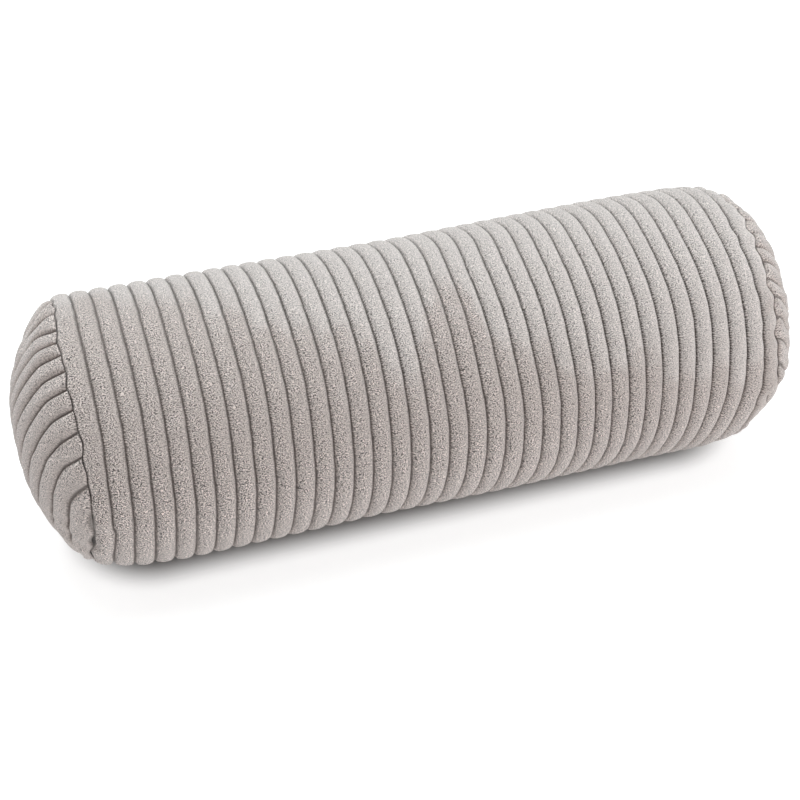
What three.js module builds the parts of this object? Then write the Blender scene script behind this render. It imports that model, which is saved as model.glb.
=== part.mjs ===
// Neck roll pillow: a filled tube of wide-ribbed plush, closed at each end by a domed round panel.
// Millimetres, +Z up. The roll lies along X, and the origin is under its middle, on the surface it lies on.
import * as THREE from 'three';
import { mergeVertices } from 'three/addons/utils/BufferGeometryUtils.js';

// Driving dimensions of the roll
const SEAM_TO_SEAM = 398;
const CREST_RADIUS = 80.3;
const AXIS_HEIGHT = 77;
const CROWN = 1;
const SEAM_DRAW = 0.8;
const SEAM_DRAW_WIDTH = 9;
const SEAM_GAP = 0.3;

// The plush: one rib from groove to groove, and how flat its top is
const RIB_PITCH = 10.85;
const RIB_DEPTH = 3;
const RIB_FLATNESS = 4;
const RIB_STATIONS = [-1, -0.62, 0, 0.62];
const PLUSH_COLOUR = 0xbfb7b4;
const PLUSH_ROUGHNESS = 0.95;

// The domed ends: height, fullness at the rim, and how much fuller they are above than below
const DOME_HEIGHT = 32.5;
const DOME_FULLNESS = 0.76;
const DOME_LEAN = 0.18;

// How the ends are cut from the plush: the tilt of their ribs, and how far their middle groove is off centre
const END_RIB_TILT_LEFT = -19.5;
const END_RIB_TILT_RIGHT = -27;
const END_GROOVE_LEFT = 6;
const END_GROOVE_RIGHT = 3.5;
const NARROWEST_RIB = 4.5;

// How finely the surfaces are stepped
const STEPS_AROUND = 36;
const STEPS_ALONG_END_RIB = 20;
const WIDEST_CHORD = 0.995;
const STEEPEST_DOME = 2.5;
const WELD_DISTANCE = 1e-3;

const HALF_LENGTH = SEAM_TO_SEAM / 2;
const SEAM_RADIUS = CREST_RADIUS - CROWN - RIB_DEPTH - SEAM_DRAW;

// How far the ribs wander from even rings, in mm along X, low on the front, on its upper middle and on the top
const WANDER_ANGLES = [-20, 40, 100, 220, 340];
const WANDER_FADE = 12;
const RIB_WANDER = [
  { x: -199, low: -2.4, middle: 0.2, top: 0.8 },
  { x: -150, low: -2.2, middle: 0.2, top: 0.8 },
  { x: -90, low: -1.0, middle: 0.6, top: 0.0 },
  { x: -10, low: 0.9, middle: -0.9, top: 0.6 },
  { x: 65, low: 2.8, middle: -1.2, top: 1.7 },
  { x: 130, low: 0.4, middle: -0.8, top: 2.5 },
  { x: 199, low: -2.0, middle: 0.0, top: 3.4 },
];

// The depth of the groove across one rib, where u runs from -1 at one groove to 1 at the next
function grooveDepth(u) {
  return RIB_DEPTH * Math.abs(u) ** RIB_FLATNESS;
}

// The radius of the ribs' crests, fullest in the middle of the roll and drawn in at the seams
function crestRadius(x) {
  const fromSeam = HALF_LENGTH - Math.abs(x);
  const drawn = Math.max(0, 1 - fromSeam / SEAM_DRAW_WIDTH);
  return CREST_RADIUS - CROWN * (x / HALF_LENGTH) ** 2 - SEAM_DRAW * drawn ** 2;
}

// The wander of a rib at x, at an angle in degrees around the roll from its front, which faces -Y, to its top
function ribWander(x, angle) {
  const next = Math.max(1, RIB_WANDER.findIndex((row) => row.x >= x));
  const [before, after] = [RIB_WANDER[next - 1], RIB_WANDER[next]];
  const share = THREE.MathUtils.clamp((x - before.x) / (after.x - before.x), 0, 1);
  const [low, middle, top] = ['low', 'middle', 'top'].map((side) =>
    THREE.MathUtils.lerp(before[side], after[side], share));
  const around = [low, middle, top, 0, low];
  const from = WANDER_ANGLES.findLastIndex((station) => station <= angle);
  const turn = THREE.MathUtils.smoothstep(angle, WANDER_ANGLES[from], WANDER_ANGLES[from + 1]);
  const fade = Math.min(1, (HALF_LENGTH - Math.abs(x)) / WANDER_FADE);
  return fade * THREE.MathUtils.lerp(around[from], around[from + 1], turn);
}

// Welds a bent sheet into one closed skin: points that met become one, and triangles that shut to a line go
function weld(sheet) {
  sheet.deleteAttribute('normal');
  sheet.deleteAttribute('uv');
  const skin = mergeVertices(sheet, WELD_DISTANCE);
  const corners = Array.from(skin.index.array);
  const open = corners.filter((_, i) => {
    const first = i - (i % 3);
    return new Set(corners.slice(first, first + 3)).size === 3;
  });
  skin.setIndex(open);
  skin.computeVertexNormals();
  return skin;
}

// The section of the roll from seam to seam, rib by rib. The last rib is cut short by its seam.
function bodySection() {
  const section = [new THREE.Vector2(0, -HALF_LENGTH)];
  for (let start = -HALF_LENGTH; start < HALF_LENGTH; start += RIB_PITCH) {
    const width = Math.min(RIB_PITCH, HALF_LENGTH - start);
    for (const u of RIB_STATIONS) {
      const x = start + (width * (u + 1)) / 2;
      section.push(new THREE.Vector2(crestRadius(x) - grooveDepth(u), x));
    }
  }
  section.push(new THREE.Vector2(SEAM_RADIUS, HALF_LENGTH));
  section.push(new THREE.Vector2(0, HALF_LENGTH));
  return section;
}

// The body panel: the ribbed roll laid along X, its ribs wandering, pressed flat where it lies
function bodyPanel() {
  const halfStep = Math.PI / STEPS_AROUND;
  const roll = new THREE.LatheGeometry(bodySection(), STEPS_AROUND, halfStep, 2 * Math.PI);
  roll.rotateZ(-Math.PI / 2);
  const points = roll.getAttribute('position');
  for (let i = 0; i < points.count; i += 1) {
    const [x, y, z] = [points.getX(i), points.getY(i), points.getZ(i)];
    const degrees = THREE.MathUtils.radToDeg(Math.atan2(z, -y));
    const angle = WANDER_ANGLES[0] + THREE.MathUtils.euclideanModulo(degrees - WANDER_ANGLES[0], 360);
    points.setXYZ(i, x + ribWander(x, angle), y, Math.max(0, AXIS_HEIGHT + z));
  }
  return weld(roll);
}

// A point of an end panel, at a distance d across its ribs and a along them, sunk by the groove there
function domePoint(d, a, sunk, side, tilt) {
  const y = side * d * Math.cos(tilt) + a * Math.sin(tilt);
  const z = a * Math.cos(tilt) - side * d * Math.sin(tilt);
  const share = Math.min(1, Math.hypot(y, z) / SEAM_RADIUS);
  const rise = Math.max(0, 1 - share ** 2);
  const lean = 1 + (DOME_LEAN * z) / SEAM_RADIUS;
  const height = DOME_HEIGHT * lean * rise ** DOME_FULLNESS;
  const slope = (2 * DOME_FULLNESS * DOME_HEIGHT * share * rise ** (DOME_FULLNESS - 1)) / SEAM_RADIUS;
  const steepness = Math.min(slope, STEEPEST_DOME);
  const depth = (sunk * Math.sqrt(rise)) / Math.hypot(1, steepness);
  const inward = share > 0 ? 1 - (depth * steepness) / (share * SEAM_RADIUS) : 1;
  const seam = HALF_LENGTH + SEAM_GAP;
  return new THREE.Vector3(side * (seam + height - depth), y * inward, AXIS_HEIGHT + z * inward);
}

// The lines between an end panel's ribs: its grooves, and the two edges where the cloth is cut
function endRibLines(middleGroove) {
  const reach = SEAM_RADIUS * WIDEST_CHORD;
  const first = Math.ceil((NARROWEST_RIB - reach - middleGroove) / RIB_PITCH);
  const lines = [-reach];
  for (let d = middleGroove + first * RIB_PITCH; d < reach - NARROWEST_RIB; d += RIB_PITCH) {
    lines.push(d);
  }
  lines.push(reach);
  return lines;
}

// An end panel: a sheet stepped along and across its ribs, domed over the seam's circle.
// The sheet's outermost ring of points is gathered to the middle of the flat back, which closes it.
function endPanel(side, tiltDegrees, middleGroove) {
  const lines = endRibLines(middleGroove);
  const across = (lines.length - 1) * RIB_STATIONS.length;
  const along = STEPS_ALONG_END_RIB;
  const tilt = THREE.MathUtils.degToRad(tiltDegrees);
  const sheet = new THREE.PlaneGeometry(across + 2, along + 2, across + 2, along + 2);
  const points = sheet.getAttribute('position');
  for (let i = 0; i < points.count; i += 1) {
    const column = Math.round(points.getX(i) + across / 2);
    const row = Math.round(points.getY(i) + along / 2);
    if (column < 0 || column > across || row < 0 || row > along) {
      points.setXYZ(i, side * (HALF_LENGTH + SEAM_GAP), 0, AXIS_HEIGHT);
      continue;
    }
    const rib = Math.floor(column / RIB_STATIONS.length);
    const u = RIB_STATIONS[column % RIB_STATIONS.length];
    const next = Math.min(rib + 1, lines.length - 1);
    const d = THREE.MathUtils.lerp(lines[rib], lines[next], (u + 1) / 2);
    const halfChord = Math.sqrt(SEAM_RADIUS ** 2 - d ** 2);
    const a = halfChord * Math.sin((Math.PI * row) / along - Math.PI / 2);
    const point = domePoint(d, a, grooveDepth(u), side, tilt);
    points.setXYZ(i, point.x, point.y, point.z);
  }
  return weld(sheet);
}

function piece(name, geometry) {
  const plush = new THREE.MeshStandardMaterial({
    color: PLUSH_COLOUR,
    roughness: PLUSH_ROUGHNESS,
    metalness: 0,
  });
  const mesh = new THREE.Mesh(geometry, plush);
  mesh.name = name;
  return mesh;
}

const pillow = new THREE.Group();
pillow.add(piece('body_panel', bodyPanel()));
pillow.add(piece('end_panel_left', endPanel(-1, END_RIB_TILT_LEFT, END_GROOVE_LEFT)));
pillow.add(piece('end_panel_right', endPanel(1, END_RIB_TILT_RIGHT, END_GROOVE_RIGHT)));

export default pillow;
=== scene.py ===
import math

import bpy
import numpy as np
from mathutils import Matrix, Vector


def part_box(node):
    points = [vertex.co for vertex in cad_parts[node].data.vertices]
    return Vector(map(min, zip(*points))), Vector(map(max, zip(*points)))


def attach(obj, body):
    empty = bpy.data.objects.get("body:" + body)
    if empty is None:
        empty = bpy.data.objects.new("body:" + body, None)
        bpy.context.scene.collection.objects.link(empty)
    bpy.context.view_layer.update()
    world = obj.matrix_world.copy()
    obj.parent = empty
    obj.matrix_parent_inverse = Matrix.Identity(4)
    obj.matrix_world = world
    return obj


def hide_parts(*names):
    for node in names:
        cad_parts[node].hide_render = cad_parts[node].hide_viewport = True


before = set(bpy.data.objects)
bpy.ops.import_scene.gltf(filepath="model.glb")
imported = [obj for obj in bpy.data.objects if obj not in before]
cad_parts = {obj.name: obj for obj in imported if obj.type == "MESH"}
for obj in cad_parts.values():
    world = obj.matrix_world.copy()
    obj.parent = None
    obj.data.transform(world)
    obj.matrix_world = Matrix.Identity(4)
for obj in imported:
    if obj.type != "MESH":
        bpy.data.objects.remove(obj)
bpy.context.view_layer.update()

# The filled cover
# Three panels of ribbed plush are sewn into one closed cover and stuffed with loose fibre. The filling
# swells the cloth between the two round end seams, which hold it in, so the cover is blown up as cloth
# before its ribs are raised.
MM = 0.001
LEFT, RIGHT = -1, 1
body_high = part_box("body_panel")[1]
FACET_LOSS = 0.3 * MM
HALF_LENGTH = body_high.x
AXIS_HEIGHT = body_high.z - body_high.y
CREST_RADIUS = body_high.y + FACET_LOSS
SEAM_DRAW = 1.8 * MM
SEAM_DRAW_WIDTH = 12.0 * MM
RIM_RADIUS = 78.0 * MM
DOME_HEIGHT = {LEFT: 34.0 * MM, RIGHT: 34.5 * MM}
DOME_FULLNESS = {LEFT: 0.88, RIGHT: 0.74}
DOME_LEAN = 0.11
COVER_ROWS = 25
COVER_RINGS = 7
COVER_COLUMNS = 36
COVER_SLACK = 2.0 * MM
STUFFING_PRESSURE = 30.0
STUFFING_STEPS = 20
CLOTH_STIFFNESS = 2.0
CLOTH_SHEAR = 0.7
SWELL_LIMIT = 4.0 * MM
ROWS_BY_SEAM = 2
# how much fuller than an even tube the stuffed body is: x, over its top and low on its front, in millimetres
BODY_FULLNESS = np.array([
    (-199, -0.6, -10.5),
    (-188, -1.2, -6.2),
    (-177, -1.6, -2.2),
    (-150, -1.7, 0.2),
    (-90, -1.7, -0.4),
    (-40, -1.9, -1.6),
    (0, -2.0, -0.8),
    (40, -0.8, 0.2),
    (80, 0.4, -0.5),
    (130, 1.4, -0.7),
    (178, 1.2, 0.6),
    (190, -0.4, -2.0),
    (199, -3.0, -4.2),
]) * MM


def body_fullness(x, angle):
    """How far the filling pushes the body out past an even tube, or lets it fall short of one."""
    over, low = (np.interp(x, BODY_FULLNESS[:, 0], BODY_FULLNESS[:, column]) for column in (1, 2))
    up = np.sin(angle)
    return over * np.clip(up, 0, 1) + low * np.clip(-up, 0, 1)


def crest_radius(x, angle):
    """The radius of the ribs' crests, which the filling rounds unevenly and the seams draw in."""
    drawn = np.clip(1 - (HALF_LENGTH - np.abs(x)) / SEAM_DRAW_WIDTH, 0, 1)
    return CREST_RADIUS + body_fullness(x, angle) - SEAM_DRAW * drawn**2


def rim_radius(side, angle):
    """The radius of an end panel's edge, which follows the drawn-in end of the body."""
    return RIM_RADIUS + body_fullness(side * HALF_LENGTH, angle)


def dome_rise(side, share, angle):
    """How far an end panel's crests stand out from their seam, at a share of the way out to it."""
    lean = 1 + DOME_LEAN * share * np.sin(angle)
    return DOME_HEIGHT[side] * lean * (1 - share**2) ** DOME_FULLNESS[side]


def around(radius, angle):
    """y and z from the roll's axis, where the angle runs from the front, which faces -Y, up over the top."""
    return -radius * np.cos(angle), radius * np.sin(angle)


def mesh_object(name, points, faces):
    mesh = bpy.data.meshes.new(name)
    mesh.from_pydata(points.tolist(), [], faces)
    mesh.update()
    obj = bpy.data.objects.new(name, mesh)
    bpy.context.scene.collection.objects.link(obj)
    return obj


def grid_quads(rows, columns, closed):
    """The quads of a grid of points: their points' indices, and each corner's row and column."""
    steps = columns if closed else columns - 1
    row, column = np.meshgrid(np.arange(rows - 1), np.arange(steps), indexing="ij")
    corners = [(row, column), (row + 1, column), (row + 1, column + 1), (row, column + 1)]
    at_row = np.stack([r for r, c in corners], -1).reshape(-1, 4)
    at_column = np.stack([c for r, c in corners], -1).reshape(-1, 4)
    return at_row * columns + at_column % columns, at_row, at_column


def filled_cover():
    """The swell of the stuffed cloth, in metres outwards, over the body and over each end panel."""
    angles = np.arange(COVER_COLUMNS) * 2 * math.pi / COVER_COLUMNS
    rows = []
    for share in np.linspace(0, 1, COVER_RINGS)[1:-1]:
        y, z = around(share * rim_radius(LEFT, angles), angles)
        rows.append(np.stack([-HALF_LENGTH - dome_rise(LEFT, share, angles), y, z], 1))
    for x in np.linspace(-HALF_LENGTH, HALF_LENGTH, COVER_ROWS):
        y, z = around(crest_radius(x, angles), angles)
        rows.append(np.stack([np.full_like(y, x), y, z], 1))
    for share in np.linspace(1, 0, COVER_RINGS)[1:-1]:
        y, z = around(share * rim_radius(RIGHT, angles), angles)
        rows.append(np.stack([HALF_LENGTH + dome_rise(RIGHT, share, angles), y, z], 1))
    tips = [[-HALF_LENGTH - DOME_HEIGHT[LEFT], 0, 0], [HALF_LENGTH + DOME_HEIGHT[RIGHT], 0, 0]]
    points = np.concatenate([*rows, tips])
    faces = grid_quads(len(rows), COVER_COLUMNS, True)[0].tolist()
    last = (len(rows) - 1) * COVER_COLUMNS
    for i in range(COVER_COLUMNS):
        j = (i + 1) % COVER_COLUMNS
        faces.append((len(points) - 2, i, j))
        faces.append((last + j, last + i, len(points) - 1))
    cover = mesh_object("filled_cover", points, faces)
    normals = np.zeros(len(points) * 3, np.float32)
    cover.data.vertex_normals.foreach_get("vector", normals)
    normals = normals.reshape(-1, 3)
    first_seam, last_seam = COVER_RINGS - 2, COVER_RINGS - 3 + COVER_ROWS
    held = [row * COVER_COLUMNS + i for row in (first_seam, last_seam) for i in range(COVER_COLUMNS)]
    slack = points - normals * COVER_SLACK
    slack[held] = points[held]
    cover.data.vertices.foreach_set("co", slack.astype(np.float32).ravel())
    swell = np.zeros(len(points))
    cover.vertex_groups.new(name="seams").add(held, 1.0, "REPLACE")
    cloth = cover.modifiers.new("stuffing", "CLOTH")
    cloth.settings.vertex_group_mass = "seams"
    cloth.settings.use_pressure = True
    cloth.settings.uniform_pressure_force = STUFFING_PRESSURE
    cloth.settings.tension_stiffness = CLOTH_STIFFNESS
    cloth.settings.compression_stiffness = CLOTH_STIFFNESS
    cloth.settings.shear_stiffness = CLOTH_SHEAR
    cloth.settings.effector_weights.gravity = 0.0
    for step in range(1, STUFFING_STEPS + 1):
        bpy.context.scene.frame_set(step)
    evaluated = cover.evaluated_get(bpy.context.evaluated_depsgraph_get())
    stuffed = np.zeros(len(points) * 3, np.float32)
    evaluated.data.vertices.foreach_get("co", stuffed)
    swell = ((stuffed.reshape(-1, 3) - slack) * normals).sum(1)
    swell = np.clip(swell, -SWELL_LIMIT, SWELL_LIMIT)
    bpy.context.scene.frame_set(1)
    cover.modifiers.remove(cloth)
    bpy.data.objects.remove(cover)
    proud = swell[: len(rows) * COVER_COLUMNS].reshape(len(rows), COVER_COLUMNS)
    left_tip, right_tip = (np.full((1, COVER_COLUMNS), tip) for tip in swell[-2:])
    # the cloth is cut so that the stuffed body comes out at its full size
    cut = proud[first_seam + ROWS_BY_SEAM : last_seam + 1 - ROWS_BY_SEAM].mean()
    proud[[first_seam, last_seam]] = cut
    left = np.concatenate([left_tip, proud[: first_seam + 1]])
    right = np.concatenate([proud[last_seam:], right_tip])[::-1]
    return proud[first_seam : last_seam + 1] - cut, left - cut, right - cut


def cubic_weights(t):
    """Catmull-Rom weights of the four grid points about a place that lies a share t past the second one."""
    return 0.5 * np.array([
        -t + 2 * t**2 - t**3,
        2 - 5 * t**2 + 3 * t**3,
        t + 4 * t**2 - 3 * t**3,
        -(t**2) + t**3,
    ])


def sample_grid(grid, row, column):
    """A smooth value between a grid's points, whose columns go round."""
    row_first, column_first = np.floor(row).astype(int), np.floor(column).astype(int)
    row_weights, column_weights = cubic_weights(row - row_first), cubic_weights(column - column_first)
    value = np.zeros_like(row)
    for i in range(4):
        at_row = np.clip(row_first + i - 1, 0, grid.shape[0] - 1)
        for j in range(4):
            at_column = (column_first + j - 1) % grid.shape[1]
            value += row_weights[i] * column_weights[j] * grid[at_row, at_column]
    return value


body_swell, left_swell, right_swell = filled_cover()

# Ribbed plush
# The cloth of all three panels: a knitted ground with broad raised ribs of dense short pile, in one warm
# grey. The pile is brushed smooth and pale in places and stands ruffled in others; over the top of the roll
# the brushed pile's paleness is partly painted sheen. The dark ground shows in the grooves, with painted
# shade darkening them further.
RUFFLED_COLOUR = (0.498, 0.435, 0.408, 1.0)
# the brushed colour is paler: partly the pile's own brushed nap, partly painted sheen over the top of the
# roll
BRUSHED_AND_SHEEN_COLOUR = (0.580, 0.525, 0.500, 1.0)
# the grooves: the dark knitted ground with painted shade, and darker painted shade where the pile is brushed
GROOVE_COLOUR = (0.220, 0.185, 0.169, 1.0)
BRUSHED_GROOVE_SHADE_COLOUR = (0.160, 0.135, 0.122, 1.0)
GROUND_COLOUR = (0.28, 0.245, 0.227, 1.0)
# painted shade in the deep lower slit of the fold
SLIT_SHADE_COLOUR = (0.11, 0.093, 0.085, 1.0)
PLUSH_TONE = 1.03
PLUSH_ROUGHNESS = 0.95
PLUSH_GLOSS = 0.2
SHEEN = 0.45
SHEEN_ROUGHNESS = 0.45
TUFT_HEIGHT = 0.5 * MM
TUFT_RELIEF = 0.7
# a scale is how many lumps of noise there are to a millimetre, and edges are where its dark and light begin
NOISE_MIDDLE = 0.5
TUFT_DETAIL = 0.5
CURL_SCALE = 0.3
CURL_REACH = (3.0, 3.0, 0.0)
ROW_STRETCH = (0.65, 1.0, 1.0)
ROW_SCALE = 2.05
ROW_EDGES = (0.38, 0.62)
ROW_SHARE = 0.65
GRAIN_SCALE = 2.8
GRAIN_EDGES = (0.36, 0.64)
GRAIN_SHARE = 0.35
PILE_CURVE = 0.58
PILE_LEVEL = 0.65
PIT_SCALE = 1.1
PIT_EDGES = (0.58, 0.70)
PATCH_SCALE = 0.07
PATCH_DETAIL = 3.0
PATCH_ROUGHNESS = 0.6
PATCH_STRENGTH = 1.6
PATCH_EDGES = (0.1, 0.9)
MOTTLE_SCALE = 0.2
MOTTLE_DEPTH = 0.16
CLUMP_SCALE = 0.6
CLUMP_DETAIL = 0.0
# these go from ruffled to brushed pile, and what upright pile adds to them; the shade values are painted
# shade
PILE_DEPTH = (2.25, 1.58)
PIT_DEPTH = (0.2, 0.03)
CLUMP_DEPTH = (0.1, 0.28)
FLANK_SHADE = (0.0, 0.08)
COMB_DEPTH = (0.11, 0.03)
UPRIGHT_DEPTH = 6.2
UPRIGHT_SHADE = 0.6
# painted shade that darkens the upright pile low on the front
UPRIGHT_PAINTED_SHADE = 0.3
# the painted shade on the ribs' left halves grows by this much a millimetre towards the right end
FLANK_SHADE_PER_MM = 0.0002
# how open the pile is on top of a rib, how that falls off towards its right, and where on a rib flanks begin
OPEN_TOP = 0.95
OPEN_FALL = 0.35
OPEN_ROUNDING = 0.3
SMOOTH_FLANK = (0.15, 0.6)
SMOOTH_FLANK_LOSS = 0.12
# painted light along each rib's left edge by the groove
LIT_EDGE = (-0.6, -0.88)
LIT_EDGE_TONE = 1.12
# the comb of tufts along a rib's left flank: its pitch in millimetres, how it bends, and where it stands
TUFT_PITCH = 1.5
BEND_SCALE = 0.35
BEND_DETAIL = 0.0
BEND_TURN = 9.0
COMB_FLANK = (0.0, -0.75)
COMB_PATCH_SCALE = 0.11
COMB_PATCH_EDGES = (0.35, 0.6)
TEETH_FLANK = (-0.5, -0.8)
TEETH_DEPTH = 0.24
TEETH_LEVEL = -0.2
RIGHT_FLANK = (0.5, 0.8)
RIGHT_FLANK_DARK = 0.07
GROOVE_RAGGEDNESS = 0.46
GROOVE_EDGES = (0.22, 0.74)
GROUND_EDGES = (0.12, 0.4)
SLIT_SHADE_EDGES = (0.6, 0.85)


def ribbed_plush():
    material = bpy.data.materials.new("ribbed_plush")
    material.use_nodes = True
    tree = material.node_tree
    shader = tree.nodes["Principled BSDF"]

    def add(kind, **values):
        node = tree.nodes.new(kind)
        for name, value in values.items():
            setattr(node, name, value)
        return node

    def feed(value, socket):
        if isinstance(value, bpy.types.NodeSocket):
            tree.links.new(value, socket)
        else:
            socket.default_value = value

    def math_node(operation, a, b=0.0, c=0.0):
        node = add("ShaderNodeMath", operation=operation)
        for value, socket in zip((a, b, c), node.inputs):
            feed(value, socket)
        return node.outputs[0]

    def times(a, b):
        return math_node("MULTIPLY", a, b)

    def times_plus(a, b, c):
        return math_node("MULTIPLY_ADD", a, b, c)

    def vector_node(operation, a, b):
        node = add("ShaderNodeVectorMath", operation=operation)
        feed(a, node.inputs[0])
        feed(b, node.inputs[1])
        return node.outputs[0]

    def noise(place, scale, detail=1.0, roughness=0.5, output="Fac"):
        node = add("ShaderNodeTexNoise")
        feed(place, node.inputs["Vector"])
        node.inputs["Scale"].default_value = scale
        node.inputs["Detail"].default_value = detail
        node.inputs["Roughness"].default_value = roughness
        return node.outputs[output]

    def uneven(*settings):
        return math_node("SUBTRACT", noise(*settings), NOISE_MIDDLE)

    def ramp(value, edges, ends=(0.0, 1.0)):
        node = add("ShaderNodeMapRange", interpolation_type="SMOOTHSTEP")
        names = ("Value", "From Min", "From Max", "To Min", "To Max")
        for name, number in zip(names, (value, *edges, *ends)):
            feed(number, node.inputs[name])
        return node.outputs["Result"]

    def mix(factor, a, b, blend="MIX"):
        node = add("ShaderNodeMix", data_type="RGBA", blend_type=blend)
        feed(factor, node.inputs["Factor"])
        feed(a, node.inputs["A"])
        feed(b, node.inputs["B"])
        return node.outputs["Result"]

    def attribute(name, output="Fac"):
        return add("ShaderNodeAttribute", attribute_name=name).outputs[output]

    # place on the cloth in millimetres, across the ribs and along them, and from -1 to 1 across each rib
    place = attribute("cloth_place", "Vector")
    across = attribute("rib_side")
    nap = attribute("brushed")
    split = add("ShaderNodeSeparateXYZ")
    feed(place, split.inputs[0])

    # tufts in short curling rows across the ribs, with dark pits between them
    curl = vector_node("SUBTRACT", noise(place, CURL_SCALE, output="Color"), (NOISE_MIDDLE,) * 3)
    curled = vector_node("ADD", place, vector_node("MULTIPLY", curl, CURL_REACH))
    rows = ramp(noise(vector_node("MULTIPLY", curled, ROW_STRETCH), ROW_SCALE, TUFT_DETAIL), ROW_EDGES)
    grain = ramp(noise(place, GRAIN_SCALE, TUFT_DETAIL), GRAIN_EDGES)
    pile = times_plus(rows, ROW_SHARE, times(grain, GRAIN_SHARE))
    pile = math_node("POWER", pile, PILE_CURVE)
    pits = ramp(noise(curled, PIT_SCALE), PIT_EDGES)

    # patches where the pile is brushed smooth, and the ruffled pile that stands upright low on the front,
    # where painted shade darkens it
    patches = uneven(place, PATCH_SCALE, PATCH_DETAIL, PATCH_ROUGHNESS)
    smoothed = ramp(times_plus(patches, PATCH_STRENGTH, nap), PATCH_EDGES)
    upright = math_node("MAXIMUM", times(nap, -1.0), 0.0)

    def by_nap(ends):
        return ramp(smoothed, (0.0, 1.0), ends)

    # the pile leans towards +X, so each rib's left flank is open and pitted and its right flank smooth
    open_flank = times_plus(times_plus(across, -OPEN_ROUNDING, -OPEN_FALL), across, OPEN_TOP)
    open_flank = math_node("SUBTRACT", open_flank, ramp(across, SMOOTH_FLANK, (0.0, SMOOTH_FLANK_LOSS)))
    coarse = times(open_flank, math_node("SUBTRACT", 1.0, attribute("calm")))
    depth = times(times_plus(upright, UPRIGHT_DEPTH, by_nap(PILE_DEPTH)), coarse)
    tone = times_plus(math_node("SUBTRACT", pile, PILE_LEVEL), depth, PLUSH_TONE)
    tone = math_node("SUBTRACT", tone, times(pits, times(open_flank, by_nap(PIT_DEPTH))))
    tone = times_plus(uneven(place, MOTTLE_SCALE), MOTTLE_DEPTH, tone)
    tone = times_plus(uneven(curled, CLUMP_SCALE, CLUMP_DETAIL), by_nap(CLUMP_DEPTH), tone)

    # painted shade darkens a rib's left half and painted light brightens its right half, more where the pile
    # is brushed or upright and towards the right end
    shade = times_plus(upright, UPRIGHT_SHADE, by_nap(FLANK_SHADE))
    shade = times_plus(split.outputs["X"], FLANK_SHADE_PER_MM, shade)
    tone = times(tone, times_plus(across, shade, 1.0))
    # painted light along each rib's left edge by the groove
    tone = times(tone, ramp(across, LIT_EDGE, (1.0, LIT_EDGE_TONE)))
    # painted shade darkens the upright pile low on the front
    tone = times(tone, times_plus(upright, -UPRIGHT_PAINTED_SHADE, 1.0))

    # the tufts on a rib's left flank stand in a comb, and the ground shows between its teeth by the groove
    turn = times(split.outputs["Y"], 2 * math.pi / TUFT_PITCH)
    comb = math_node("SINE", times_plus(noise(place, BEND_SCALE, BEND_DETAIL), BEND_TURN, turn))
    combing = times(ramp(across, COMB_FLANK), by_nap(COMB_DEPTH))
    combing = times(combing, ramp(noise(place, COMB_PATCH_SCALE), COMB_PATCH_EDGES))
    tone = math_node("SUBTRACT", tone, times(comb, combing))
    tufted = mix(1.0, mix(smoothed, RUFFLED_COLOUR, BRUSHED_AND_SHEEN_COLOUR), tone, "MULTIPLY")
    teeth = times(times_plus(comb, TEETH_DEPTH, TEETH_LEVEL), ramp(across, TEETH_FLANK))
    teeth = math_node("ADD", teeth, ramp(across, RIGHT_FLANK, (0.0, RIGHT_FLANK_DARK)))
    toothed = math_node("ADD", attribute("groove"), teeth)
    ragged = times_plus(math_node("SUBTRACT", PILE_LEVEL, pile), GROOVE_RAGGEDNESS, toothed)
    # the grooves take the ground's dark colour with painted shade in it, deeper painted shade where the pile
    # is brushed
    grooved = mix(smoothed, GROOVE_COLOUR, BRUSHED_GROOVE_SHADE_COLOUR)
    shaded = mix(ramp(ragged, GROOVE_EDGES), tufted, grooved)

    # where the seam gapes, first the knitted ground shows and then the deep slit, dark with painted shade
    seam = attribute("seam")
    gaping = mix(ramp(seam, GROUND_EDGES), shaded, GROUND_COLOUR)
    feed(mix(ramp(seam, SLIT_SHADE_EDGES), gaping, SLIT_SHADE_COLOUR), shader.inputs["Base Color"])

    bump = add("ShaderNodeBump")
    bump.inputs["Distance"].default_value = TUFT_HEIGHT
    bump.inputs["Strength"].default_value = TUFT_RELIEF
    feed(pile, bump.inputs["Height"])
    feed(bump.outputs["Normal"], shader.inputs["Normal"])
    shader.inputs["Roughness"].default_value = PLUSH_ROUGHNESS
    shader.inputs["Specular IOR Level"].default_value = PLUSH_GLOSS
    shader.inputs["Sheen Weight"].default_value = SHEEN
    shader.inputs["Sheen Roughness"].default_value = SHEEN_ROUGHNESS
    return material


plush = ribbed_plush()

# Body panel
# One rectangle of the plush wrapped into a tube, with its ribs running round the roll. The filling rounds
# it out, the end seams draw in and pucker its last ribs, and it lies on a small flat spot. By the left
# seam it has a pinched fold.
RIB_PITCH = 10.85 * MM
RIB_DEPTH = 3.0 * MM
RIB_FLATNESS = 3.2
RIB_SHOULDER = 0.6
GROOVE_FLOOR = 0.955
RIB_STATIONS = (-1, -0.955, -0.89, -0.77, -0.57, -0.21, 0.21, 0.57, 0.77, 0.89, 0.955)
STEPS_AROUND = 240
FLAT_SPOT_SOFTNESS = 1.0 * MM
RIB_SEED = 5
RIB_WOBBLE = 0.06 * MM
RIB_WOBBLE_WAVES = (17, 29, 44)
PUCKER_WAVES = (9, 14, 21, 27, 36)
PUCKER_SPREAD = 2
PUCKER_REACH = 14 * MM
PUCKER_SHIFT = {LEFT: 0.5 * MM, RIGHT: 1.1 * MM}
PUCKER_SHIFT_SEED = 11
PUCKER_LIFT = {LEFT: 0.3 * MM, RIGHT: 0.6 * MM}
PUCKER_LIFT_SEED = 23
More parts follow.
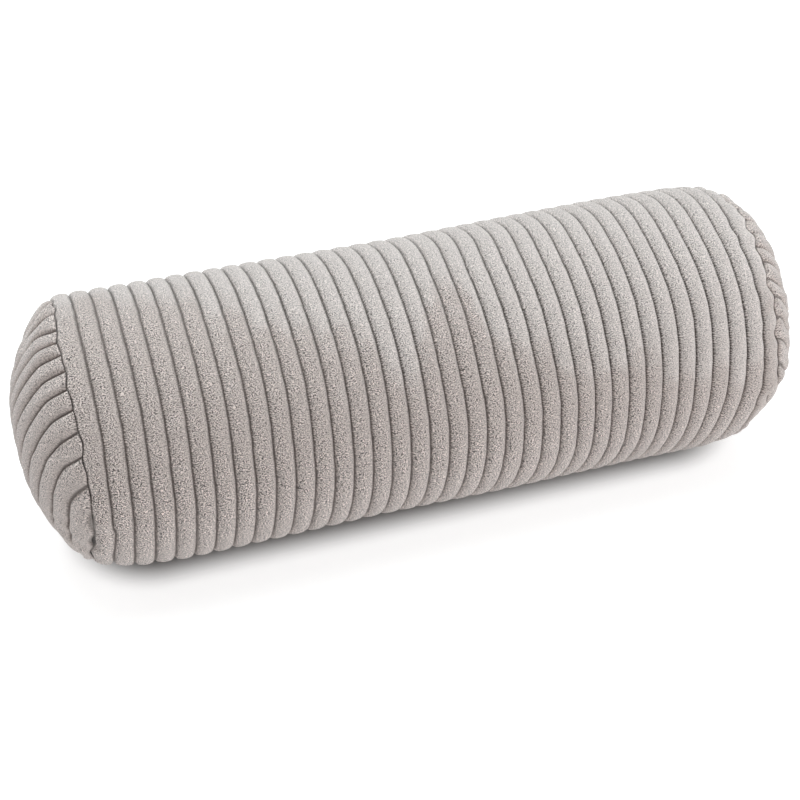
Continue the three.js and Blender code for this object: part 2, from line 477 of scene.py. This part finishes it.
# the fold's upper and lower slit: how far body and end panel draw back from each, and its relative depth
PINCH_ANGLES = np.radians([-0.5, -14])
PINCH_WIDTHS = np.radians([4.4, 5.6])
PINCH_BODY = np.array([0.6, 1.2]) * MM
PINCH_PANEL = np.array([3.4, 2.6]) * MM
PINCH_DEPTH = np.array([0.6, 1.3])
# the upper slit shows the knitted ground, the lower, deeper one painted shade
PINCH_GROUND_AND_SHADE = (0.5, 1.0)
PINCH_EDGE = -0.9
# the crease that runs on from the fold across the first rib, and shifts the ribs below it
CREASE_ANGLE = math.radians(-6)
CREASE_DEPTH = 0.9 * MM
CREASE_WIDTH = math.radians(1.5)
CREASE_SHIFT = 1.2 * MM
CREASE_FADE = 0.5
# how much of the dark ground, with its painted shade, shows beside each end seam, and how much more ruffled
# and darker the pile is by the right one, that darkening painted shade
SEAM_SHOW = {LEFT: 0.75, RIGHT: 0.35}
SEAM_RUFFLE_AND_SHADE = 0.5
# towards the right end the pile in front lies finer and flatter
CALM_FROM = 80 * MM
CALM_OVER = 60 * MM
CALM_BELOW = math.radians(60)
CALM_SOFTNESS = math.radians(20)
CALM = 0.2
SEAM_CALM = 0.35
# low on the front the pile stands upright, and painted shade darkens it there
UPRIGHT_NAP = -0.5
UPRIGHT_BELOW = math.radians(35)
UPRIGHT_FROM = math.radians(-15)
# where the pile brushed smooth over the top, paler there partly as painted sheen, meets the ruffled pile in
# front: x in millimetres, degrees up
NAP_BORDER = np.array([
    (-199, 100),
    (-150, 92),
    (-100, 70),
    (-50, 52),
    (-18, 42),
    (5, 76),
    (20, 74),
    (34, 38),
    (100, 18),
    (199, 0),
])
NAP_BORDER_WIDTH = math.radians(34)
NAP_STREAK = math.radians(9)
# the pile is brushed more, and so paler, towards the right end: partly painted light
NAP_RISE_AND_PAINTED_LIGHT = 0.3
NAP_END = 1.2 * math.pi
WANDER_ANGLES = np.radians([-24, 8, 40, 72, 104, 220, 336])
# how far the ribs wander from even rings: x, then the shift at the first five angles, in millimetres
RIB_WANDER = np.array([
    (-199, -3.5, -0.5, -0.3, -1.2, 1.8),
    (-188, -3.5, -1.7, 0.0, 0.0, 0.8),
    (-150, -2.2, -1.1, 0.3, 0.2, 0.8),
    (-90, -1.6, -0.3, 0.8, 0.0, -0.2),
    (-30, 0.0, -0.3, 0.0, -0.5, 0.0),
    (0, 0.2, 0.5, -1.2, -0.8, 1.1),
    (30, 1.2, 0.9, -1.4, -2.2, 1.2),
    (60, 3.2, 1.4, -1.1, -1.9, 1.1),
    (110, 1.0, -0.5, -1.0, -1.5, 0.0),
    (150, -2.4, -2.7, -0.9, -2.8, 0.0),
    (175, -5.0, -2.4, -1.7, -2.3, 0.3),
    (191, -2.2, -1.3, -1.3, -1.7, 2.2),
    (199, -3.5, 1.5, 0.8, 3.0, 4.8),
]) * MM
# unrolled for baking, the panel lies flat and its hidden ends share a small corner of the strip beside it
BODY_BAKE_WIDTH = 0.98
BODY_HIDDEN_CORNER = [(0.985, 0.0), (0.995, 0.0), (0.995, 0.01)]


def smooth(t):
    """An even rise from 0 to 1, held at both ends."""
    t = np.clip(t, 0, 1)
    return t * t * (3 - 2 * t)


def rib_wander(x, angle):
    """How far a rib strays along the roll from an even ring."""
    front = [np.interp(x, RIB_WANDER[:, 0], column) for column in RIB_WANDER.T[1:]]
    values = [*front, 0 * x, front[0]]
    turned = WANDER_ANGLES[0] + (angle - WANDER_ANGLES[0]) % (2 * math.pi)
    shift = values[0]
    for before, after, start, end in zip(values, values[1:], WANDER_ANGLES, WANDER_ANGLES[1:]):
        shift = shift + (after - before) * smooth((turned - start) / (end - start))
    return shift


def pucker(side, angle, seed):
    """An uneven ripple around a seam, between about -1 and 1."""
    phases = np.random.default_rng(seed + side).uniform(0, 2 * math.pi, len(PUCKER_WAVES))
    return sum(np.sin(n * angle + p) for n, p in zip(PUCKER_WAVES, phases)) / PUCKER_SPREAD


def pucker_shift(side, angle):
    """How far a seam's puckers push it along the roll."""
    return side * PUCKER_SHIFT[side] * pucker(side, angle, PUCKER_SHIFT_SEED)


def hump(angle, middle, width):
    """A rounded bump around the roll, 1 at its middle."""
    apart = (angle - middle + math.pi) % (2 * math.pi) - math.pi
    return np.exp(-((apart / width) ** 2))


def pinched(side, angle, amounts):
    """The amounts given for the two slits of the fold low in the left seam, spread around the seam."""
    slits = zip(amounts, PINCH_ANGLES, PINCH_WIDTHS)
    return sum(amount * hump(angle, middle, width) for amount, middle, width in slits) * (side == LEFT)


def groove_share(u):
    """How deep the surface lies across one rib, from 0 on its top to 1 in the groove at u = -1 or 1."""
    return 1 - (1 - np.minimum(np.abs(u) / GROOVE_FLOOR, 1) ** RIB_FLATNESS) ** RIB_SHOULDER


def rib_lines(edges, stations):
    """The lines along the ribs between the given grooves: where the rib starts and ends, and u across it."""
    lines = [(start, end, u) for start, end in zip(edges, edges[1:]) for u in stations]
    lines.append((edges[-2], edges[-1], 1.0))
    return np.array(lines).T


def finish_panel(obj, fields, corners_uv, node):
    """Gives a panel its plush, and puts it in place of its solid; points past the fields' ends are hidden."""
    mesh = obj.data
    for name, values in fields.items():
        hidden = np.zeros((len(mesh.vertices) - len(values), *values.shape[1:]))
        values = np.concatenate([values, hidden]).astype(np.float32)
        kind, field = ("FLOAT_VECTOR", "vector") if values.ndim == 2 else ("FLOAT", "value")
        mesh.attributes.new(name, kind, "POINT").data.foreach_set(field, values.ravel())
    mesh.uv_layers.new(name="OFBake").data.foreach_set("uv", corners_uv.astype(np.float32).ravel())
    mesh.polygons.foreach_set("use_smooth", np.ones(len(mesh.polygons), bool))
    mesh.materials.append(plush)
    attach(obj, "root")
    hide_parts(node)


def body_panel():
    edges = np.append(np.arange(-HALF_LENGTH, HALF_LENGTH, RIB_PITCH), HALF_LENGTH)
    start, end, line_u = rib_lines(edges, RIB_STATIONS)
    rib = np.searchsorted(edges, start, "right") - 1
    first_rib = (np.arange(len(line_u)) < len(RIB_STATIONS))[:, None]
    last_rib = (rib == len(edges) - 2)[:, None]
    angles = np.arange(STEPS_AROUND) * 2 * math.pi / STEPS_AROUND - math.pi / 2
    flat_x, angle = np.meshgrid(start + (end - start) * (line_u + 1) / 2, angles, indexing="ij")
    u = np.repeat(line_u[:, None], STEPS_AROUND, 1)
    share = (u + 1) / 2

    # the ribs wander and wobble, and pucker by the end seams
    x = flat_x + rib_wander(flat_x, angle)
    chance = np.random.default_rng(RIB_SEED)
    phases = chance.uniform(0, 2 * math.pi, (len(RIB_WOBBLE_WAVES), len(edges)))
    for wave, phase in zip(RIB_WOBBLE_WAVES, phases):
        sway = [np.sin(wave * angle + phase[at][:, None]) for at in (rib, rib + 1)]
        x += RIB_WOBBLE * (sway[0] * (1 - share) + sway[1] * share)
    streak = chance.uniform(-NAP_STREAK, NAP_STREAK, len(edges))[rib][:, None]
    groove = groove_share(u)
    low = groove * (1 + (u < 0) * first_rib * pinched(LEFT, angle, PINCH_DEPTH - 1))
    radius = crest_radius(flat_x, angle) - RIB_DEPTH * low
    for side in (LEFT, RIGHT):
        near = smooth(1 - (HALF_LENGTH - side * flat_x) / PUCKER_REACH)
        x += near * pucker_shift(side, angle)
        radius += near * PUCKER_LIFT[side] * pucker(side, angle, PUCKER_LIFT_SEED)

    # the pinched fold draws the first rib back and creases it
    x += pinched(LEFT, angle, PINCH_BODY) * first_rib * (u > -1) * (1 - share) ** 2
    radius -= CREASE_DEPTH * hump(angle, CREASE_ANGLE, CREASE_WIDTH) * first_rib * (1 - groove)
    below = smooth((CREASE_ANGLE - angle) / CREASE_WIDTH + 0.5)
    below *= smooth((angle - CREASE_ANGLE) / CREASE_FADE + 1)
    ribs_in = (flat_x + HALF_LENGTH) / RIB_PITCH
    x += CREASE_SHIFT * below * smooth(ribs_in) * smooth(2 - ribs_in)

    # the filling swells it, and its weight flattens it underneath
    swell_row = (flat_x / HALF_LENGTH + 1) / 2 * (COVER_ROWS - 1)
    radius += sample_grid(body_swell, swell_row, angle * COVER_COLUMNS / (2 * math.pi))
    y, z = around(radius, angle)
    z = z + AXIS_HEIGHT
    z = (z + np.sqrt(z**2 + FLAT_SPOT_SOFTNESS**2)) / 2
    caps = [[-HALF_LENGTH, 0, AXIS_HEIGHT], [HALF_LENGTH, 0, AXIS_HEIGHT]]
    points = np.concatenate([np.stack([x, y, z], -1).reshape(-1, 3), caps])
    quads, at_row, at_column = grid_quads(len(line_u), STEPS_AROUND, True)
    last = (len(line_u) - 1) * STEPS_AROUND
    step = np.arange(STEPS_AROUND)
    turn = (step + 1) % STEPS_AROUND
    left_cap = np.stack([np.full_like(step, len(points) - 2), step, turn], 1)
    right_cap = np.stack([last + turn, last + step, np.full_like(step, len(points) - 1)], 1)
    obj = mesh_object("body_plush", points, [*quads.tolist(), *left_cap.tolist(), *right_cap.tolist()])
    panel_uv = np.stack([BODY_BAKE_WIDTH * at_row / (len(line_u) - 1), at_column / STEPS_AROUND], -1)
    hidden_uv = np.tile(BODY_HIDDEN_CORNER, (2 * STEPS_AROUND, 1))

    # how the pile lies: brushed over the top, paler there partly as painted sheen; upright low on the front,
    # darkened there by painted shade; finer towards the right end, and more brushed there as painted light
    turned = angle % (2 * math.pi)
    border = np.radians(np.interp(flat_x / MM, NAP_BORDER[:, 0], NAP_BORDER[:, 1]))
    brushed = smooth((turned - border - streak) / NAP_BORDER_WIDTH + 0.5) * (turned < NAP_END)
    # painted light: more brushed and paler towards the right end
    brushed = np.maximum(brushed, NAP_RISE_AND_PAINTED_LIGHT * (flat_x / HALF_LENGTH + 1) / 2)
    brushed += UPRIGHT_NAP * smooth((UPRIGHT_BELOW - angle) / (UPRIGHT_BELOW - UPRIGHT_FROM))
    low_front = smooth((CALM_BELOW - angle) / CALM_SOFTNESS)
    # painted shade: the last rib's low front is made more ruffled and darker
    brushed = np.where(last_rib, np.maximum(brushed - SEAM_RUFFLE_AND_SHADE * low_front, 0), brushed)
    calm = CALM * smooth((flat_x - CALM_FROM) / CALM_OVER) * low_front + SEAM_CALM * last_rib
    shown = groove * np.where(last_rib & (u > 0), SEAM_SHOW[RIGHT], 1.0)
    fields = {
        "cloth_place": np.stack([flat_x, angle * CREST_RADIUS, 0 * angle], -1).reshape(-1, 3) / MM,
        "groove": shown.ravel(),
        "rib_side": u.ravel(),
        "brushed": brushed.ravel(),
        "calm": calm.ravel(),
        "seam": (pinched(LEFT, angle, PINCH_GROUND_AND_SHADE) * first_rib * (u < PINCH_EDGE)).ravel(),
    }
    corners_uv = np.concatenate([panel_uv.reshape(-1, 2), hidden_uv])
    finish_panel(obj, fields, corners_uv, "body_panel")


body_panel()

# End panels
# Two rounds of the same plush sewn into the ends of the tube and domed by the filling, with straight ribs.
# Each rib's end is tucked into the seam, so that it puffs up and rounds off like a fingertip.
SEAM_GAP = 0.3 * MM
END_RIB_DEPTH = {LEFT: 2.3 * MM, RIGHT: 2.2 * MM}
HALF_STATIONS = (0.12, 0.34, 0.54, 0.7, 0.82, 0.9, 0.955)
END_RIB_STATIONS = (-1, *(-u for u in reversed(HALF_STATIONS)), *HALF_STATIONS)
STEPS_ALONG = 160
WIDEST_CHORD = 0.995
STEEPEST_DOME = 2.5
FLATTEST_RISE = 1e-6
RIB_TILT = {LEFT: math.radians(-19.9), RIGHT: math.radians(-32)}
MIDDLE_GROOVE = {LEFT: 6.0 * MM, RIGHT: 4.6 * MM}
NARROWEST_RIB = 6.8 * MM
# how far the sewing turned the upper rib ends forwards: at which angle, and by how much, in degrees
RIM_TWIST = {
    LEFT: np.array([
        (-60, 0),
        (-20, 2),
        (60, 2),
        (74, 2.6),
        (82, 4.3),
        (90, 5.5),
        (99, 1),
        (110, -7),
        (130, -8),
        (170, 0),
    ]),
    RIGHT: np.array([
        (-60, 0),
        (-20, -2),
        (90, -2),
        (170, 0),
    ]),
}
RIM_TWIST_START = 0.82
RIM_TWIST_LENGTH = 25.0 * MM
# the left panel's front ribs bow: how far out low down and back higher up, and where along and across
BOW_LOW = 6.0 * MM
BOW_LOW_FROM = 30.0 * MM
BOW_LOW_OVER = 40.0 * MM
BOW_HIGH = 2.0 * MM
BOW_HIGH_PLACE = 48.0 * MM
BOW_HIGH_WIDTH = 16.0 * MM
BOW_FIRST = 34.7 * MM
BOW_OVER = 25.0 * MM
BOW_RIM = 0.16
TIP_LENGTH = 3.5 * MM
NOTCH_LENGTH = 2.6 * MM
TIP_PUFF = {LEFT: 0.8 * MM, RIGHT: 0.3 * MM}
TIP_PUFF_PLACE = 8.0 * MM
TIP_VARIETY = 0.4
TIP_SEED = 37
# how much narrower the dark of the grooves is than the body's, and how the pile lies
GROOVE_FINENESS = {LEFT: 1.6, RIGHT: 1.0}
END_NAP = {LEFT: 0.15, RIGHT: 0.3}
END_CALM = {LEFT: 0.0, RIGHT: 0.35}
# laid flat for baking, each panel is a round in its square, and its hidden back shares a corner of it
END_BAKE_MIDDLE = 0.5
END_BAKE_RADIUS = 0.48
END_HIDDEN_CORNER = [(0.0, 0.0), (0.01, 0.0), (0.0, 0.01)]


def end_panel(name, node, side, swell_grid):
    # straight ribs, each line of them running from rim to rim: d across the ribs and a along them
    widest = RIM_RADIUS * WIDEST_CHORD
    first = math.ceil((NARROWEST_RIB - widest - MIDDLE_GROOVE[side]) / RIB_PITCH)
    grooves = np.arange(MIDDLE_GROOVE[side] + first * RIB_PITCH, widest - NARROWEST_RIB, RIB_PITCH)
    start, end, line_u = rib_lines([-widest, *grooves, widest], END_RIB_STATIONS)
    line_d = start + (end - start) * (line_u + 1) / 2
    share_along = np.sin(np.linspace(-math.pi / 2, math.pi / 2, STEPS_ALONG + 1))
    d, share = np.meshgrid(line_d, share_along, indexing="ij")
    u = np.repeat(line_u[:, None], STEPS_ALONG + 1, 1)
    a = np.sqrt(RIM_RADIUS**2 - d**2) * share
    if side == LEFT:
        bow = BOW_LOW * smooth((BOW_LOW_FROM - a) / BOW_LOW_OVER)
        bow -= BOW_HIGH * np.exp(-(((a - BOW_HIGH_PLACE) / BOW_HIGH_WIDTH) ** 2))
        in_rim = smooth((1 - np.hypot(d, a) / RIM_RADIUS) / BOW_RIM)
        d = d + bow * smooth((d - BOW_FIRST) / BOW_OVER) * in_rim
    tilt = RIB_TILT[side]
    y = side * d * math.cos(tilt) + a * math.sin(tilt)
    z = a * math.cos(tilt) - side * d * math.sin(tilt)
    reach = np.clip(np.hypot(y, z) / RIM_RADIUS, 0, 1)

    # the sewing turned the ribs a little near the seam
    angle = np.arctan2(z, -y)
    twist = np.radians(np.interp(np.degrees(angle), *RIM_TWIST[side].T))
    twist *= smooth((reach - RIM_TWIST_START) / (1 - RIM_TWIST_START))
    angle = angle - twist * smooth(a / RIM_TWIST_LENGTH)
    rim = rim_radius(side, angle)
    y, z = around(reach * rim, angle)
    height = dome_rise(side, reach, angle)
    from_rim = np.hypot(rim * (1 - reach), height)

    # each rib's tip is tucked into the seam and puffs up before it
    gape = pinched(side, angle, PINCH_PANEL)
    groove = groove_share(u)
    variety = 1 + TIP_VARIETY * pucker(side, angle, TIP_SEED)
    tip = (TIP_LENGTH + NOTCH_LENGTH * groove) * variety
    tuck = np.clip(1 - np.maximum(from_rim - gape, 0) / tip, 0, 1) ** 2
    low = np.maximum(groove, tuck) * (1 + pinched(side, angle, PINCH_DEPTH - 1) * tuck)
    puff = TIP_PUFF[side] * variety * from_rim / TIP_PUFF_PLACE
    puff *= np.exp(1 - from_rim / TIP_PUFF_PLACE) * (1 - groove)

    # the filling domes it, and the ribs are sunk and raised square to the dome
    swell = sample_grid(swell_grid, reach * (COVER_RINGS - 1), angle * COVER_COLUMNS / (2 * math.pi))
    fullness = DOME_FULLNESS[side]
    rise = np.clip(1 - reach**2, FLATTEST_RISE, 1)
    slope = 2 * fullness * DOME_HEIGHT[side] * reach * rise ** (fullness - 1) / RIM_RADIUS
    slope = np.minimum(slope, STEEPEST_DOME)
    sunk = (END_RIB_DEPTH[side] * low - swell - puff) / np.hypot(1, slope)
    inward = 1 - sunk * slope / np.maximum(reach * RIM_RADIUS, MM)
    seam = rib_wander(np.full_like(angle, side * HALF_LENGTH), angle) + pucker_shift(side, angle)
    rim_x = HALF_LENGTH + SEAM_GAP + side * seam * reach**2
    x = side * np.maximum(rim_x + height - sunk, rim_x)
    points = np.stack([x, y * inward, z * inward + AXIS_HEIGHT], -1).reshape(-1, 3)
    points = np.concatenate([points, [[side * (HALF_LENGTH + SEAM_GAP), 0, AXIS_HEIGHT]]])
    quads, at_row, at_column = grid_quads(*d.shape, False)
    at = np.arange(d.size).reshape(d.shape)
    edge = np.array([*at[:, 0], *at[-1, 1:], *at[-2::-1, -1], *at[0, -2:0:-1]])
    back = np.stack([np.full_like(edge, len(points) - 1), np.roll(edge, -1), edge], 1)
    obj = mesh_object(name, points, [*quads.tolist(), *back.tolist()])
    flat_uv = END_BAKE_MIDDLE + END_BAKE_RADIUS * np.stack([d, a], -1) / RIM_RADIUS
    panel_uv = flat_uv[at_row, at_column].reshape(-1, 2)
    hidden_uv = np.tile(END_HIDDEN_CORNER, (len(edge), 1))
    fields = {
        "cloth_place": np.stack([d, a, 0 * a], -1).reshape(-1, 3) / MM,
        "groove": np.maximum(groove ** GROOVE_FINENESS[side], tuck * SEAM_SHOW[side]).ravel(),
        "rib_side": u.ravel(),
        "brushed": np.full(d.size, END_NAP[side]),
        "calm": np.full(d.size, END_CALM[side]),
        "seam": (pinched(side, angle, PINCH_GROUND_AND_SHADE) * (from_rim < gape)).ravel(),
    }
    finish_panel(obj, fields, np.concatenate([panel_uv, hidden_uv]), node)


end_panel("end_plush_left", "end_panel_left", LEFT, left_swell)
end_panel("end_plush_right", "end_panel_right", RIGHT, right_swell)

# Studio
# A white floor that glows as painted light, except close under the roll, where it leaves a painted shadow, in
# a dim pale room. A large softbox hangs overhead and a little behind, and two weak ones light the ends.
CAMERA_PLACE = (-0.2320, -0.6821, 0.59855)
CAMERA_AZIMUTH = -0.3187
CAMERA_ELEVATION = 0.6464
CAMERA_LENS = 67.556
CAMERA_SENSOR = 36
FLOOR_HALF = 40.0
FLOOR_SHADE = 0.5
FLOOR_GLOW = 0.72
# the painted shadow under the roll, where the floor's painted glow fades out
SHADE_HALF_LENGTH = 160 * MM
SHADE_FROM = 31 * MM
SHADE_TO = 59 * MM
ROOM_LIGHT = 0.43
# each softbox's place, size, power and colour
SOFTBOXES = {
    "overhead": ((0.05, 0.35, 1.35), 1.3, 17.5, (0.94, 1.02, 1.04)),
    "right_fill": ((0.72, -0.52, 0.28), 0.6, 2.5, (1, 1, 1)),
    "left_fill": ((-1.15, 0.85, 0.75), 0.9, 3.7, (1, 1, 1)),
}


def white_floor():
    white = bpy.data.materials.new("white_floor")
    white.use_nodes = True
    tree = white.node_tree
    paint = tree.nodes["Principled BSDF"]
    paint.inputs["Base Color"].default_value = (FLOOR_SHADE, FLOOR_SHADE, FLOOR_SHADE, 1)
    paint.inputs["Roughness"].default_value = 1.0
    paint.inputs["Specular IOR Level"].default_value = 0.0
    paint.inputs["Emission Color"].default_value = (1, 1, 1, 1)
    # the distance from the line under the roll's middle, past which the floor's painted glow comes on; nearer
    # than that lies its painted shadow
    distance = tree.nodes.new("ShaderNodeTexCoord").outputs["Object"]
    steps = [("ABSOLUTE", 0), ("SUBTRACT", SHADE_HALF_LENGTH), ("MAXIMUM", 0), ("LENGTH", 0)]
    for operation, along in steps:
        node = tree.nodes.new("ShaderNodeVectorMath")
        node.operation = operation
        node.inputs[1].default_value = (along, 0, 0)
        tree.links.new(distance, node.inputs[0])
        distance = node.outputs["Value" if operation == "LENGTH" else "Vector"]
    glow = tree.nodes.new("ShaderNodeMapRange")
    glow.interpolation_type = "SMOOTHSTEP"
    glow.inputs["From Min"].default_value = SHADE_FROM
    glow.inputs["From Max"].default_value = SHADE_TO
    glow.inputs["To Max"].default_value = FLOOR_GLOW
    tree.links.new(distance, glow.inputs["Value"])
    tree.links.new(glow.outputs["Result"], paint.inputs["Emission Strength"])
    return white


def studio():
    scene = bpy.context.scene
    scene.view_settings.view_transform = "Standard"
    camera = bpy.data.objects.new("camera", bpy.data.cameras.new("camera"))
    scene.collection.objects.link(camera)
    camera.location = CAMERA_PLACE
    camera.rotation_euler = (math.pi / 2 - CAMERA_ELEVATION, 0, CAMERA_AZIMUTH)
    camera.data.lens = CAMERA_LENS
    camera.data.sensor_width = CAMERA_SENSOR
    scene.camera = camera

    corners = np.array([(-1, -1, 0), (1, -1, 0), (1, 1, 0), (-1, 1, 0)]) * FLOOR_HALF
    floor = mesh_object("floor", corners, [(0, 1, 2, 3)])
    floor.data.materials.append(white_floor())

    # the room is dim, but behind the floor it looks as pale as the floor's far side
    world = bpy.data.worlds.new("soft_room")
    world.use_nodes = True
    tree = world.node_tree
    seen = tree.nodes.new("ShaderNodeLightPath").outputs["Is Camera Ray"]
    strength = tree.nodes.new("ShaderNodeMapRange")
    strength.inputs["To Min"].default_value = ROOM_LIGHT
    strength.inputs["To Max"].default_value = FLOOR_GLOW + FLOOR_SHADE * ROOM_LIGHT
    tree.links.new(seen, strength.inputs["Value"])
    room = tree.nodes["Background"]
    room.inputs["Color"].default_value = (1, 1, 1, 1)
    tree.links.new(strength.outputs["Result"], room.inputs["Strength"])
    scene.world = world

    for name, (place, size, power, colour) in SOFTBOXES.items():
        softbox = bpy.data.objects.new(name, bpy.data.lights.new(name, "AREA"))
        scene.collection.objects.link(softbox)
        softbox.data.size = size
        softbox.data.energy = power
        softbox.data.color = colour
        softbox.location = place
        softbox.rotation_euler = softbox.location.to_track_quat("Z", "Y").to_euler()


studio()
